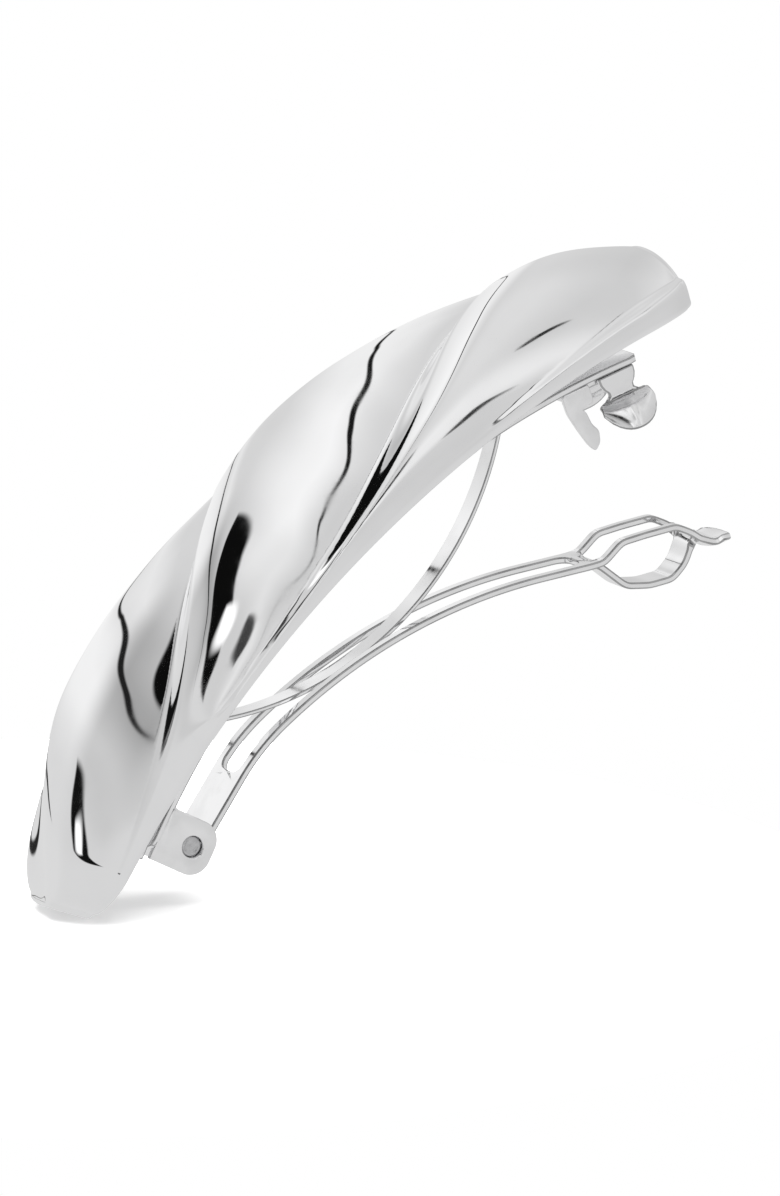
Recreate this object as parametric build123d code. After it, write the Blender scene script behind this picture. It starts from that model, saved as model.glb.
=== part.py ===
"""French barrette: a twisted cast cover on an automatic clasp.

Frame, in millimetres: X runs along the clasp from hinge to catch, Y across it and Z outwards from
the hair, through the cover. The origin is the middle of the base plate's underside.
"""

from build123d import *
import os
from math import asin, atanh, cos, degrees, exp, floor, pi, radians, sin, sqrt

# ---- driving dimensions, mm -------------------------------------------------------------------
# cover: a shell on an arched rim, whose section is a dome cut by slanting creases
RIM_RADIUS = 138.0
RIM_APEX = 2.3
COVER_HALF_CHORD = 49.0
COVER_HALF_WIDTH = 11.0
COVER_END_HALF_WIDTH = 10.0
HINGE_END_CORNER = 5.0
CATCH_END_CORNER = 1.8
CORNER_START = 0.88
DOME_HEIGHT = 14.5
DOME_END_HEIGHT = 6.0
DOME_TAPER_POWER = 2.6
SECTION_POWER = 2.17
WALL = 1.3

# creases: lobe k starts at the station FIRST_CREASE + k * CREASE_PITCH, counted in half lengths
FIRST_CREASE = -0.135
CREASE_PITCH = 0.746
CREASE_SPREAD = 0.46
RIDGE_DEPTH = 1.5
RIDGE_OVERRUN = 0.3
VALLEY_DEPTH = 2.9
CREST_PLACE = 0.18
CREST_ROUND = 0.082
FALL_POWER = 1.52
STEP_WIDTH = 0.12
RELIEF_FADE = 1.3
SECTION_POINTS = 31
STATION_COUNT = 45
END_DENSITY = 0.25
COVER_REACH = 1.015

# base plate and its hinge ears
PLATE_RADIUS = 100.0
PLATE_THICKNESS = 0.8
PLATE_HALF_WIDTH = 4.9
PLATE_START = -22.6
PLATE_END = 24.4
TAB_LENGTH = 1.6
TAB_HALF_WIDTH = 2.6
BOW_SLOT_LENGTH = 1.6
EAR_THICKNESS = 0.8
EAR_HALF_WIDTH = 3.2
EAR_CORNER = 2.4
EAR_BELOW_PIN = 2.7

# hinge pin
PIN_ANGLE = -21.4
PIN_DROP = 4.0
PIN_RADIUS = 1.2
PIN_CLEARANCE = 0.05
PIN_RECESS = 0.25

# clasp arm
ARM_THICKNESS = 0.8
ARM_HALF_WIDTH = 3.85
ROOT_SLOPE = 15.0
ROOT_LENGTH = 9.6
ROOT_BEND_RADIUS = 25.0
ROOT_BEND_ANGLE = 17.0
SPAN_RADIUS = 67.0
SPAN_ANGLE = 31.0
WEB_RUN = 7.4
SLOT_HALF_WIDTH = 2.4
SLOT_START = -25.2
SLOT_END = 21.0
RAIL_INNER = 2.55
TONGUE_HALF_WIDTH = 2.2
FINGER_HALF_WIDTH = 2.9

# side view of the arm's eye: steps along the arm and up from it, counted from the web's end
EYE_RAIL = [(-0.6, 0), (0.6, 0.1), (3.1, 1.9), (6.2, 2.1), (10.2, 2.2), (12.2, 1.0), (13.0, 0.2)]
EYE_TONGUE = [(-0.6, 0), (0.4, -0.3), (3.7, -3.7), (6.7, -4.3), (9.7, -4.2), (11.7, -2.6), (13.0, 0.1)]
EYE_STRIP = [(12.3, 0.8), (13.0, 0.15), (13.9, -0.3)]
FINGER = [(12.4, 0.5), (13.2, 0.0), (15.3, -0.9), (18.2, -0.7)]

# tension bow
BOW_RADIUS = 39.0
BOW_THICKNESS = 0.5
BOW_HALF_WIDTH = 1.5
BOW_LOW = -11.5
BOW_MIDDLE = 1.0
BOW_HALF_SPAN = 23.4
FOOT_LENGTH = 5.0

# catch bracket and thumb tabs
CATCH_ANGLE = 21.5
CATCH_THICKNESS = 0.7
CATCH_INNER = 4.15
HOOK_START = -5.5
HOOK_END = -1.9
TAB_FROM = -1.0
TAB_TO = 4.2
TAB_GAP = 0.14
TAB_ROOT_DEPTH = 0.4
TAB_NECK = -2.2
TAB_FOLD = -3.5
FLARE_ANGLE = 38.0
PADDLE_HALF_LENGTH = 3.3
PADDLE_DEPTH = 4.3

# side view of a hook leg: steps along the clasp and up from the plate's underside
HOOK_LEG = [(-5.5, -0.2), (-5.5, -2.4), (-4.8, -5.0), (-4.2, -6.8), (-3.6, -7.8), (-2.7, -7.0),
            (-2.4, -5.6), (-3.0, -4.6), (-3.2, -3.0), (-3.6, -2.5), (-1.9, -2.3), (-1.9, -0.2)]

# bridges and rivets
BRIDGE_PLACE = 20.0
BRIDGE_LENGTH = 5.0
BRIDGE_THICKNESS = 1.2
BRIDGE_CLEAR = 0.5
RIVET_RADIUS = 1.0
RIVET_HEAD_RADIUS = 1.5
RIVET_HEAD_HEIGHT = 0.45

# ---- worked-out values ------------------------------------------------------------------------
RIM_CENTRE = RIM_APEX - RIM_RADIUS
COVER_HALF_ANGLE = asin(COVER_HALF_CHORD / RIM_RADIUS)
PIN_PLACE_RADIUS = PLATE_RADIUS - PIN_DROP
PIN_X = PIN_PLACE_RADIUS * sin(radians(PIN_ANGLE))
PIN_Z = PIN_PLACE_RADIUS * cos(radians(PIN_ANGLE)) - PLATE_RADIUS
BORE_RADIUS = PIN_RADIUS + PIN_CLEARANCE
KNUCKLE_RADIUS = BORE_RADIUS + ARM_THICKNESS
CATCH_OUTER = CATCH_INNER + CATCH_THICKNESS
EAR_INNER = PLATE_HALF_WIDTH - EAR_THICKNESS


def save(part, node):
    """Write one node's solids to its own STEP file."""
    part.label = node
    export_step(part, f"parts/{node}.step")


def side(face, low, high):
    """Extrude a face drawn in X and Z from y = low to y = high."""
    placed = Plane.XZ * face
    return Pos(0, low, 0) * extrude(placed, amount=low - high)


def both_sides(face, low, high):
    """The same extrusion on the near and on the far side of the centre plane."""
    return [side(face, -high, -low), side(face, low, high)]


def bar(start, end, thickness):
    """A straight strip's face between two points."""
    a, b = Vector(*start), Vector(*end)
    middle = (a + b) * 0.5
    turn = Vector(1, 0).get_signed_angle(b - a, Vector(0, 0, 1))
    return Pos(middle.X, middle.Y) * Rot(0, 0, turn) * Rectangle((b - a).length, thickness)


def ring_sector(centre, radius, thickness, start, end):
    """A strip's face along an arc, its angles in degrees from the first axis."""
    inner, outer = radius - thickness / 2, radius + thickness / 2
    cx, cz = centre

    def at(r, angle):
        return (cx + r * cos(radians(angle)), cz + r * sin(radians(angle)))

    middle = (start + end) / 2
    edges = [
        ThreePointArc(at(inner, start), at(inner, middle), at(inner, end)),
        Line(at(inner, end), at(outer, end)),
        ThreePointArc(at(outer, end), at(outer, middle), at(outer, start)),
        Line(at(outer, start), at(inner, start)),
    ]
    return make_face(Curve() + edges)


def strip_through(points, thickness):
    """A bent strip's face through a few points, its corners rounded."""
    face = bar(points[0], points[1], thickness)
    for start, end in zip(points[1:], points[2:]):
        face += bar(start, end, thickness)
        face += Pos(*start) * Circle(thickness / 2)
    return face


def on_plate(radius, angle):
    """A point at a radius from the base plate's centre, its angle counted from +Z."""
    return (radius * sin(radians(angle)), radius * cos(radians(angle)) - PLATE_RADIUS)


def at_rivet(place):
    """The place on the plate's underside of a rivet, its axis square to the plate."""
    angle = degrees(asin(place / PLATE_RADIUS))
    x, z = on_plate(PLATE_RADIUS, angle)
    return Pos(x, 0, z) * Rot(0, angle, 0)


def plate_band(low, high, start, end):
    """The face between two radii of the base plate's arch."""
    middle = (low + high) / 2
    return ring_sector((0, -PLATE_RADIUS), middle, high - low, 90 - end, 90 - start)


# ---- cover ------------------------------------------------------------------------------------
def soft_positive(value, softness):
    """The value where it is well above 0, fading softly to 0 below."""
    return (value + sqrt(value ** 2 + softness ** 2)) / 2


def relief(station, angle):
    """How far the surface lies under the dome: a slope up to the crest, then a fall to the crease."""
    bounded = max(-0.99, min(0.99, angle / (pi / 2) - 1))
    crease = station - CREASE_SPREAD * atanh(bounded)
    lobe = min(2.99, (crease - FIRST_CREASE) / CREASE_PITCH)
    place = lobe - max(-1, floor(lobe))
    before = 1 - place / CREST_PLACE
    if before > 1:
        before = 1 + RIDGE_OVERRUN * (1 - exp((1 - before) / RIDGE_OVERRUN))
    after = soft_positive((place - CREST_PLACE) / (1 - CREST_PLACE), CREST_ROUND)
    after = min(1.0, after / soft_positive(1.0, CREST_ROUND))
    depth = RIDGE_DEPTH * soft_positive(before, 3 * CREST_ROUND) + VALLEY_DEPTH * after ** FALL_POWER
    if 0 <= lobe and place < STEP_WIDTH:
        share = place / STEP_WIDTH
        blend = share * share * (3 - 2 * share)
        depth = VALLEY_DEPTH * (1 - blend) + depth * blend
    return -depth * max(0.0, sin(angle)) ** RELIEF_FADE


def section_points(share, wall):
    """Points of the section at a share of the half length, from the near rim to the far rim."""
    taper = abs(share) ** DOME_TAPER_POWER
    height = DOME_HEIGHT - (DOME_HEIGHT - DOME_END_HEIGHT) * taper
    half_width = COVER_HALF_WIDTH - (COVER_HALF_WIDTH - COVER_END_HALF_WIDTH) * share ** 2
    corner = max(0.0, (abs(share) - CORNER_START) / (COVER_REACH - CORNER_START))
    cut = HINGE_END_CORNER if share < 0 else CATCH_END_CORNER
    half_width -= cut * (1 - sqrt(1 - min(1.0, corner) ** 2))
    points = []
    for i in range(SECTION_POINTS):
        angle = pi * i / (SECTION_POINTS - 1)
        c, s = cos(angle), max(0.0, sin(angle))
        sign = 1 if c >= 0 else -1
        shift = relief(share, angle) - wall
        across = -half_width * sign * abs(c) ** (2 / SECTION_POWER) - shift * c
        up = height * s ** (2 / SECTION_POWER) + shift * s
        points.append((across, up))
    return points


def section_face(share):
    """The shell's section as a closed face on the plane across the arched axis."""
    turn = share * COVER_HALF_ANGLE
    origin = (RIM_RADIUS * sin(turn), 0, RIM_CENTRE + RIM_RADIUS * cos(turn))
    plane = Plane(origin=origin, x_dir=(0, 1, 0), z_dir=(cos(turn), 0, -sin(turn)))
    outer = section_points(share, 0.0)
    inner = section_points(share, WALL)
    edges = [
        Spline(*outer),
        Line(outer[-1], inner[-1]),
        Spline(*reversed(inner)),
        Line(inner[0], outer[0]),
    ]
    return plane * make_face(Curve() + edges)


def cover_shell():
    places = [2 * i / (STATION_COUNT - 1) - 1 for i in range(STATION_COUNT)]
    shares = [COVER_REACH * t * (1 + END_DENSITY * (1 - t ** 2)) for t in places]
    return loft([section_face(share) for share in shares], ruled=True)


# ---- base plate -------------------------------------------------------------------------------
def base_plate():
    outer = PLATE_RADIUS + PLATE_THICKNESS
    plate = side(plate_band(PLATE_RADIUS, outer, PLATE_START, PLATE_END),
                 -PLATE_HALF_WIDTH, PLATE_HALF_WIDTH)
    tab_start = PLATE_START - degrees(TAB_LENGTH / PLATE_RADIUS)
    plate += side(plate_band(PLATE_RADIUS, outer, tab_start, PLATE_START + 1),
                  -TAB_HALF_WIDTH, TAB_HALF_WIDTH)
    drop = PIN_DROP + EAR_BELOW_PIN
    ear = Pos(0, -drop / 2 + 0.2) * Rectangle(2 * EAR_HALF_WIDTH, drop + 0.4)
    ear = fillet(ear.vertices().sort_by(Axis.Y)[:2], EAR_CORNER)
    ear -= Pos(0, -PIN_DROP) * Circle(BORE_RADIUS)
    ear_x, ear_z = on_plate(PLATE_RADIUS, PIN_ANGLE)
    placed = Pos(ear_x, ear_z) * Rot(0, 0, -PIN_ANGLE) * ear
    for ear_side in both_sides(placed, EAR_INNER, PLATE_HALF_WIDTH):
        plate += ear_side
    for place in (-1, 1):
        x = BOW_MIDDLE + place * (BOW_HALF_SPAN + FOOT_LENGTH - 0.4)
        plate -= Pos(x, 0, -4) * Box(BOW_SLOT_LENGTH, 2 * BOW_HALF_WIDTH + 0.6, 9)
    for place in (-BRIDGE_PLACE, BRIDGE_PLACE):
        plate -= at_rivet(place) * Cylinder(RIVET_RADIUS, 4)
    return plate


def hinge_pin():
    half = PLATE_HALF_WIDTH - PIN_RECESS
    return side(Pos(PIN_X, PIN_Z) * Circle(PIN_RADIUS), -half, half)


# ---- clasp arm --------------------------------------------------------------------------------
def arm_path():
    """The arm's side view from the knuckle to the web, as one face, and where it ends."""
    thick = ARM_THICKNESS
    middle = BORE_RADIUS + thick / 2
    heading = ROOT_SLOPE
    x = PIN_X + middle * sin(radians(heading))
    z = PIN_Z - middle * cos(radians(heading))
    face = Pos(PIN_X, PIN_Z) * Circle(KNUCKLE_RADIUS)
    end_x = x + ROOT_LENGTH * cos(radians(heading))
    end_z = z + ROOT_LENGTH * sin(radians(heading))
    face += bar((x, z), (end_x, end_z), thick)
    for radius, turn in ((ROOT_BEND_RADIUS, ROOT_BEND_ANGLE), (SPAN_RADIUS, SPAN_ANGLE)):
        centre = (end_x + radius * sin(radians(heading)), end_z - radius * cos(radians(heading)))
        face += ring_sector(centre, radius, thick, 90 + heading - turn, 90 + heading)
        heading -= turn
        end_x = centre[0] - radius * sin(radians(heading))
        end_z = centre[1] + radius * cos(radians(heading))
    start = (end_x, end_z)
    end_x += WEB_RUN * cos(radians(heading))
    end_z += WEB_RUN * sin(radians(heading))
    face += bar(start, (end_x, end_z), thick)
    face -= Pos(PIN_X, PIN_Z) * Circle(BORE_RADIUS)
    return face, (end_x, end_z), heading


def clasp_arm():
    face, (x, z), heading = arm_path()
    arm = side(face, -ARM_HALF_WIDTH, ARM_HALF_WIDTH)
    slot = Pos((SLOT_START + SLOT_END) / 2, 0) * RectangleRounded(
        SLOT_END - SLOT_START, 2 * SLOT_HALF_WIDTH, SLOT_HALF_WIDTH * 0.6)
    arm -= Pos(0, 0, -40) * extrude(slot, amount=40)

    def ahead(steps):
        """Points from the web's end, each given along the arm and up from it."""
        along = (cos(radians(heading)), sin(radians(heading)))
        return [(x + s * along[0] - h * along[1], z + s * along[1] + h * along[0]) for s, h in steps]

    rail = strip_through(ahead(EYE_RAIL), ARM_THICKNESS)
    for rail_side in both_sides(rail, RAIL_INNER, ARM_HALF_WIDTH):
        arm += rail_side
    for steps, half_width in ((EYE_TONGUE, TONGUE_HALF_WIDTH), (EYE_STRIP, ARM_HALF_WIDTH),
                              (FINGER, FINGER_HALF_WIDTH)):
        arm += side(strip_through(ahead(steps), ARM_THICKNESS), -half_width, half_width)
    return arm


# ---- tension bow ------------------------------------------------------------------------------
def tension_bow():
    centre = (BOW_MIDDLE, BOW_LOW + BOW_RADIUS)
    reach = degrees(asin(BOW_HALF_SPAN / BOW_RADIUS))
    face = ring_sector(centre, BOW_RADIUS, BOW_THICKNESS, 270 - reach, 270 + reach)
    end_z = centre[1] - BOW_RADIUS * cos(radians(reach))
    for place in (-1, 1):
        knee = (BOW_MIDDLE + place * BOW_HALF_SPAN, end_z)
        lift = BOW_THICKNESS / 2 + 0.02
        near = degrees(asin(knee[0] / PLATE_RADIUS)) + place * 1.0
        far = near + place * degrees(FOOT_LENGTH / PLATE_RADIUS)
        foot = [knee, on_plate(PLATE_RADIUS - lift, near), on_plate(PLATE_RADIUS - lift, far)]
        face += Pos(*knee) * Circle(BOW_THICKNESS / 2)
        face += strip_through(foot, BOW_THICKNESS)
    return side(face, -BOW_HALF_WIDTH, BOW_HALF_WIDTH)


# ---- catch ------------------------------------------------------------------------------------
def at_catch(face):
    """Place a face drawn along and up from the plate's underside at the catch."""
    x, z = on_plate(PLATE_RADIUS, CATCH_ANGLE)
    return Pos(x, z) * Rot(0, 0, -CATCH_ANGLE) * face


def catch_angle(along):
    return CATCH_ANGLE + degrees(along / PLATE_RADIUS)


def catch_bracket():
    low = PLATE_RADIUS - CATCH_THICKNESS
    floor_face = plate_band(low, PLATE_RADIUS, catch_angle(HOOK_START), catch_angle(HOOK_END))
    bracket = side(floor_face, -CATCH_OUTER, CATCH_OUTER)
    rear = plate_band(low, PLATE_RADIUS, catch_angle(HOOK_END - 0.2), catch_angle(TAB_TO))
    half = CATCH_INNER - TAB_GAP
    bracket += side(rear, -half, half)
    leg = make_face(Polyline(*HOOK_LEG, close=True))
    bracket += side(at_catch(leg), -CATCH_OUTER, -CATCH_INNER)
    return bracket


def thumb_tab(sign):
    """One sprung side of the catch: an upright on a round root, then a paddle that flares out."""
    root = -TAB_ROOT_DEPTH
    upright = make_face(Polyline((TAB_FROM, root), (TAB_TO, root), (TAB_TO + 0.2, TAB_NECK),
                                 (TAB_TO + 0.6, TAB_FOLD), (TAB_FROM - 0.1, TAB_FOLD),
                                 (TAB_FROM + 0.3, TAB_NECK), close=True))
    wall = side(at_catch(upright), -CATCH_OUTER, -CATCH_INNER)
    x, z = on_plate(PLATE_RADIUS, CATCH_ANGLE)
    catch = Pos(x, 0, z) * Rot(0, CATCH_ANGLE, 0)
    middle = (TAB_FROM + TAB_TO) / 2
    roll = Cylinder(CATCH_THICKNESS / 2, TAB_TO - TAB_FROM)
    wall += catch * Pos(middle, -CATCH_INNER - CATCH_THICKNESS / 2, root) * Rot(0, 90, 0) * roll
    paddle = Ellipse(PADDLE_HALF_LENGTH, PADDLE_DEPTH)
    paddle &= Pos(0, PADDLE_DEPTH / 2) * Rectangle(4 * PADDLE_HALF_LENGTH, PADDLE_DEPTH)
    paddle += Pos(0, -0.1) * Rectangle(2 * PADDLE_HALF_LENGTH, 0.2)
    sheet = extrude(paddle, amount=-CATCH_THICKNESS)
    tilt = Pos(middle + 0.2, -CATCH_INNER, TAB_FOLD + 0.1) * Rot(-90 - FLARE_ANGLE, 0, 0)
    tab = wall + catch * tilt * sheet
    if sign > 0:
        tab = mirror(tab, about=Plane.XZ)
    return tab


# ---- bridges and rivets -----------------------------------------------------------------------
def bridge(place):
    """A cross bar soldered inside the cover, with its block standing on the base plate."""
    station = degrees(asin(place / RIM_RADIUS)) / degrees(COVER_HALF_ANGLE)
    half = -section_points(station, WALL)[0][0] - BRIDGE_CLEAR
    tilt = degrees(asin(place / RIM_RADIUS))
    rim_z = RIM_CENTRE + sqrt(RIM_RADIUS ** 2 - place ** 2)
    cross = Pos(place, 0, rim_z + 1.2) * Rot(0, tilt, 0) * Box(BRIDGE_LENGTH, 2 * half,
                                                            BRIDGE_THICKNESS)
    block = Pos(place, 0, rim_z - 1.0) * Rot(0, tilt, 0) * Box(BRIDGE_LENGTH, 6.0, 5.0)
    outer = PLATE_RADIUS + PLATE_THICKNESS
    under = Pos(0, 0, -PLATE_RADIUS) * Rot(90, 0, 0) * Cylinder(outer, 60)
    return (cross + block) - under - at_rivet(place) * Cylinder(RIVET_RADIUS, 12)


def fixing_rivets():
    rivets = []
    shank_radius = RIVET_RADIUS - 0.02
    for place in (-BRIDGE_PLACE, BRIDGE_PLACE):
        shank = Pos(0, 0, 1.7) * Cylinder(shank_radius, 4.0)
        head = Pos(0, 0, -RIVET_HEAD_HEIGHT / 2 - 0.02) * Cylinder(
            RIVET_HEAD_RADIUS, RIVET_HEAD_HEIGHT)
        rivets.append(at_rivet(place) * (shank + head))
    return Compound(children=rivets)


def main():
    os.makedirs("parts", exist_ok=True)
    save(cover_shell(), "cover_shell")
    save(base_plate(), "base_plate")
    save(hinge_pin(), "hinge_pin")
    save(clasp_arm(), "clasp_arm")
    save(tension_bow(), "tension_bow")
    save(catch_bracket(), "catch_bracket")
    save(thumb_tab(-1), "thumb_tab_near")
    save(thumb_tab(1), "thumb_tab_far")
    save(bridge(-BRIDGE_PLACE), "bridge_hinge_end")
    save(bridge(BRIDGE_PLACE), "bridge_catch_end")
    save(fixing_rivets(), "fixing_rivets")


main()
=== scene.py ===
"""A French barrette with a twisted, silver-plated cover on an automatic clasp."""

import math

import bmesh
import bpy
from bpy.props import FloatProperty, FloatVectorProperty, IntProperty, PointerProperty
from mathutils import Matrix, Vector


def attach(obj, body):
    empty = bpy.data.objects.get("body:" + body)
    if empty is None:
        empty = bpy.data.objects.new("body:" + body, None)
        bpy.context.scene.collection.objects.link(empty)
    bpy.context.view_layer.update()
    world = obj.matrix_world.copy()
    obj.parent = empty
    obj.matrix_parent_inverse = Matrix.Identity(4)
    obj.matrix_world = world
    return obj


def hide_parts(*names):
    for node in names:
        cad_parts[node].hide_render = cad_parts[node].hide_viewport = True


bl_info = {
    "name": "Twisted Barrette",
    "version": (1, 0, 0),
    "blender": (4, 5, 0),
    "location": "View3D > Sidebar > Barrette",
    "description": "Builds a twisted metal barrette around its clasp",
    "category": "Add Mesh",
}

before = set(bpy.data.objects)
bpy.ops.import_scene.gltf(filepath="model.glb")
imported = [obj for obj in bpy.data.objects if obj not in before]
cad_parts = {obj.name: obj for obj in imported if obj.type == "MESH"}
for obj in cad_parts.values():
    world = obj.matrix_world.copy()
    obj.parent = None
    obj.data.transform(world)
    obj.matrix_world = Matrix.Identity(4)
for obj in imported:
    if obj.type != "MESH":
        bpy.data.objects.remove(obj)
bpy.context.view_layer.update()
MM = 0.001


# ---- sizes and colours ------------------------------------------------------------------------
def length(name, description, default):
    """A length that a user may change, with its default in millimetres."""
    return FloatProperty(name=name, description=description, default=default * MM,
                         unit="LENGTH", precision=4)


def number(name, description, default):
    return FloatProperty(name=name, description=description, default=default)


def colour(name, description, default):
    return FloatVectorProperty(name=name, description=description, default=default,
                               subtype="COLOR", size=3, min=0.0, max=1.0)


class CoverSizes(bpy.types.PropertyGroup):
    """Sizes of the twisted cover."""
    rim_radius: length("Rim radius", "Radius of the arched rim", 138.0)
    rim_apex: length("Rim apex", "Height of the rim's middle", 2.3)
    half_angle: FloatProperty(name="Half angle", description="Half of the rim's arc",
                              default=math.asin(49.0 / 138.0), subtype="ANGLE")
    half_width: length("Half width", "Half of the width in the middle", 11.0)
    end_half_width: length("End half width", "Half of the width at the ends", 10.0)
    hinge_corner: length("Hinge corner", "How far the corners draw in at the hinge end", 5.0)
    catch_corner: length("Catch corner", "How far the corners draw in at the catch end", 1.8)
    corner_start: number("Corner start", "Share of the half length where corners begin", 0.88)
    end_bulge: number("End bulge", "How far the ends bulge, as a share", 0.016)
    dome_height: length("Dome height", "Height of the section in the middle", 14.5)
    dome_end_height: length("Dome end height", "Height of the section at the ends", 6.0)
    dome_taper: number("Dome taper", "Power of the fall in height to the ends", 2.6)
    section_power: number("Section power", "2 is an ellipse, more is squarer", 2.17)
    wall: length("Wall", "Thickness of the cast wall", 1.3)
    first_crease: number("First crease", "Where a crease crosses the top", -0.135)
    crease_pitch: number("Crease pitch", "Distance between creases, in half lengths", 0.746)
    crease_spread: number("Crease spread", "How slowly a crease crosses over", 0.46)
    ridge_depth: length("Ridge depth", "How far a lobe's leading edge lies under its crest", 1.5)
    valley_depth: length("Valley depth", "How far a lobe's trailing edge lies under its crest", 2.9)
    crest_place: number("Crest place", "Where the crest lies on a lobe", 0.18)
    crest_round: number("Crest round", "How softly the crest turns over", 0.082)
    fall_power: number("Fall power", "How late a lobe falls to its trailing edge", 1.52)
    step_width: number("Step width", "Width of the step at a crease", 0.05)
    relief_fade: number("Relief fade", "How soon the relief dies out at the rims", 1.3)
    waviness: length("Waviness", "Height of the casting's slow waves", 0.22)
    rows: IntProperty(name="Rows", description="Mesh rows along the cover", default=451)


class RivetSizes(bpy.types.PropertyGroup):
    """Sizes of the rivets that fix the cross bars to the base plate."""
    head_radius: length("Head radius", "Radius of the domed head", 1.5)
    head_height: length("Head height", "Height of the domed head", 0.47)
    shank_radius: length("Shank radius", "Radius of the shank", 0.98)
    shank_length: length("Shank length", "From the head's rim to the shank's end", 3.5)
    centre_distance: length("Centre distance", "From the arch's centre to the rivet heads", 100.0)
    place_angle: FloatProperty(name="Place angle", description="Where the rivets sit on the arch",
                               default=math.asin(0.2), subtype="ANGLE")


class FinishSettings(bpy.types.PropertyGroup):
    """Colours of the metals and how worn they are."""
    silver: colour("Silver", "Colour of the cover's plating", (0.95, 0.95, 0.955))
    nickel: colour("Nickel", "Colour of the clasp's plating", (0.96, 0.96, 0.965))
    steel: colour("Steel", "Colour of the bare pin and rivets", (0.62, 0.62, 0.63))
    wear: number("Wear", "How strong scratches and smudges are", 1.0)


class StageSizes(bpy.types.PropertyGroup):
    """The camera and the light round the barrette."""
    distance: length("Distance", "From the camera to the barrette", 900.0)
    picture_height: length("Picture height", "Height that the picture takes in", 135.9)
    floor_size: length("Floor size", "Radius of the round floor", 90.0)
    floor_colour: colour("Floor colour", "Colour of the floor", (0.97, 0.97, 0.97))
    lamp_strength: number("Lamp strength", "Strength of the soft lamp over the floor", 4.0)


# ---- node formulas ----------------------------------------------------------------------------
class Formula:
    """Writes a formula as math nodes in a node tree."""

    def __init__(self, tree, kind):
        self.tree = tree
        self.kind = kind
        self.count = 0

    def node(self, name, **settings):
        node = self.tree.nodes.new(name)
        node.location = (180 * (self.count % 12), -200 * (self.count // 12))
        self.count += 1
        for key, value in settings.items():
            setattr(node, key, value)
        return node

    def fill(self, name, inputs, **settings):
        """A new node with some of its inputs filled."""
        node = self.node(name, **settings)
        for label, value in inputs.items():
            self.put(node.inputs[label], value)
        return node

    def put(self, socket, value):
        if isinstance(value, bpy.types.NodeSocket):
            self.tree.links.new(value, socket)
        else:
            socket.default_value = value

    def math(self, operation, *values, clamp=False):
        node = self.node("ShaderNodeMath", operation=operation, use_clamp=clamp)
        for socket, value in zip(node.inputs, values):
            self.put(socket, value)
        return node.outputs[0]

    def add(self, *values):
        total = values[0]
        for value in values[1:]:
            total = self.math("ADD", total, value)
        return total

    def sub(self, a, b):
        return self.math("SUBTRACT", a, b)

    def mul(self, *values):
        total = values[0]
        for value in values[1:]:
            total = self.math("MULTIPLY", total, value)
        return total

    def div(self, a, b):
        return self.math("DIVIDE", a, b)

    def power(self, a, b):
        return self.math("POWER", a, b)

    def ramp(self, value, start, end):
        """0 before start, 1 after end, straight between."""
        return self.math("DIVIDE", self.sub(value, start), self.sub(end, start), clamp=True)

    def smooth(self, share):
        """The smooth step of a share from 0 to 1."""
        return self.mul(share, share, self.math("MULTIPLY_ADD", share, -2.0, 3.0))

    def between(self, value, low, high):
        return self.math("MINIMUM", self.math("MAXIMUM", value, low), high)

    def mix(self, share, a, b):
        return self.add(a, self.mul(share, self.sub(b, a)))


def new_tree(name, kind, inputs, outputs):
    """A node group with named inputs and outputs, each given as name, socket type and default."""
    tree = bpy.data.node_groups.new(name, kind)
    for label, socket_type, default in inputs:
        socket = tree.interface.new_socket(name=label, in_out="INPUT", socket_type=socket_type)
        if default is not None:
            socket.default_value = default
    for label, socket_type in outputs:
        tree.interface.new_socket(name=label, in_out="OUTPUT", socket_type=socket_type)
    return tree


def end_tree(f, geometry, material):
    """End a geometry tree: smooth, real, and with its material."""
    smooth = f.fill("GeometryNodeSetShadeSmooth", {"Geometry": geometry})
    real = f.fill("GeometryNodeRealizeInstances", {"Geometry": smooth.outputs[0]})
    coated = f.fill("GeometryNodeSetMaterial", {"Geometry": real.outputs[0], "Material": material})
    f.put(f.node("NodeGroupOutput").inputs[0], coated.outputs[0])


def apply_tree(tree, name, values):
    """Run a geometry tree with named input values and keep the plain mesh that it makes."""
    host = bpy.data.objects.new(name + "_host", bpy.data.meshes.new(name + "_host"))
    bpy.context.scene.collection.objects.link(host)
    modifier = host.modifiers.new("build", "NODES")
    modifier.node_group = tree
    for item in tree.interface.items_tree:
        if item.item_type == "SOCKET" and item.in_out == "INPUT" and item.name in values:
            modifier[item.identifier] = values[item.name]
    depsgraph = bpy.context.evaluated_depsgraph_get()
    mesh = bpy.data.meshes.new_from_object(host.evaluated_get(depsgraph))
    mesh.name = name
    bpy.data.objects.remove(host)
    piece = bpy.data.objects.new(name, mesh)
    bpy.context.scene.collection.objects.link(piece)
    return piece


# ---- the twisted cover ------------------------------------------------------------------------
COVER_INPUTS = ("rim_radius", "rim_apex", "half_angle", "half_width", "end_half_width",
                "hinge_corner", "catch_corner", "corner_start", "end_bulge", "dome_height", "dome_end_height",
                "dome_taper", "section_power", "wall", "first_crease", "crease_pitch",
                "crease_spread", "ridge_depth", "valley_depth", "crest_place", "crest_round",
                "fall_power", "step_width", "relief_fade", "waviness")
CAP_SHARE = 0.03
OVERRUN = 0.3
WAVES_ALONG = 5.0
WAVE_SCALE = 1.1
# how near the rims the creases keep spreading, and how much wider their steps get there
CREASE_REACH = 0.99
STEP_WIDENING = 2.5
# how round the ends' cut corners are; 1 would be a full quarter of an ellipse
CORNER_ROUNDNESS = 0.98
# share of the half length past which a row of the mesh is the last one
LAST_ROW = 0.9999
# points closer together than this are joined
MERGE_DISTANCE = 0.01 * MM
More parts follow.
